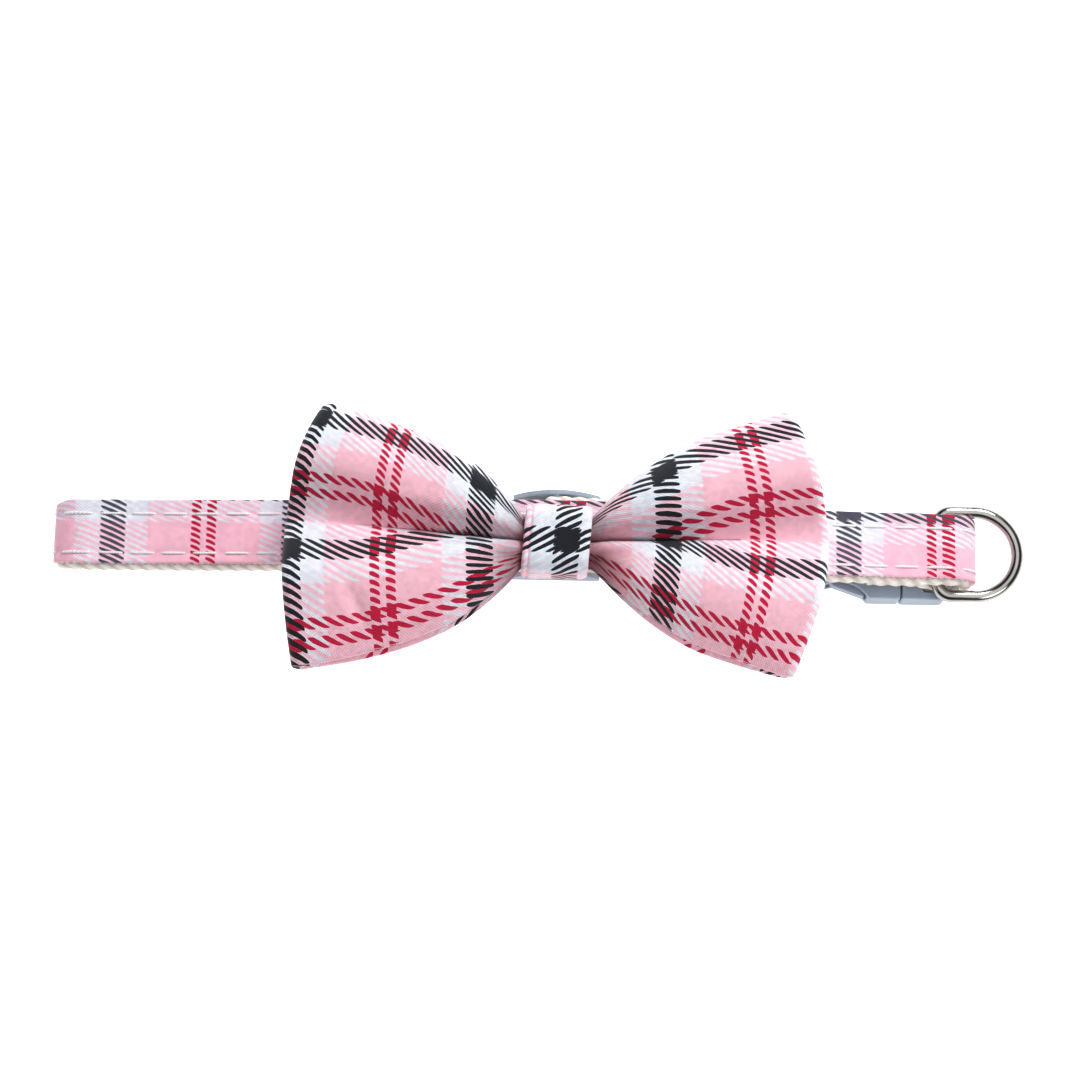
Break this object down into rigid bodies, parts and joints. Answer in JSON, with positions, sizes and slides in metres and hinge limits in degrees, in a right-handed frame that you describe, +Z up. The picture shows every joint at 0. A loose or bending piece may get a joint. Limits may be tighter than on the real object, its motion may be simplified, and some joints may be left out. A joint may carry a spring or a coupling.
{
  "type": "pet collar with bow",
  "caption": "Narrow buckled pet collar lying pressed flat: cotton-covered webbing loop with a pleated bow, a wire ring for a lead, a side-release buckle and a length slider.",
  "frame": {"origin": "middle of the footprint, on the surface that the collar lies on", "axes": "+X along the strap towards the ring, +Y across the strap, +Z up out of the bow's front"},
  "size_m": [0.138, 0.0366, 0.0259],
  "materials": {
    "webbing": "woven ivory webbing, matt",
    "check_cotton": "printed cotton, pink ground with a check in black, white and crimson, matt",
    "grey_plastic": "moulded blue-grey plastic, satin",
    "nickel": "bright nickel-plated wire"
  },
  "bodies": {
    "collar": {"webbing": "webbing", "strap_fabric": "check_cotton", "ring_keeper": "webbing", "slider": "grey_plastic", "buckle_female": "grey_plastic", "buckle_male": "grey_plastic", "bow": "check_cotton", "bow_knot": "check_cotton"},
    "ring": {"d_ring": "nickel"}
  },
  "joints": [
    {"name": "d_ring_swing", "type": "hinge", "parent": "collar", "child": "ring", "pos_m": [0.05674, 0.0021, 0.00635], "axis": [0, -1, 0], "range_deg": [-36, 138]}
  ]
}
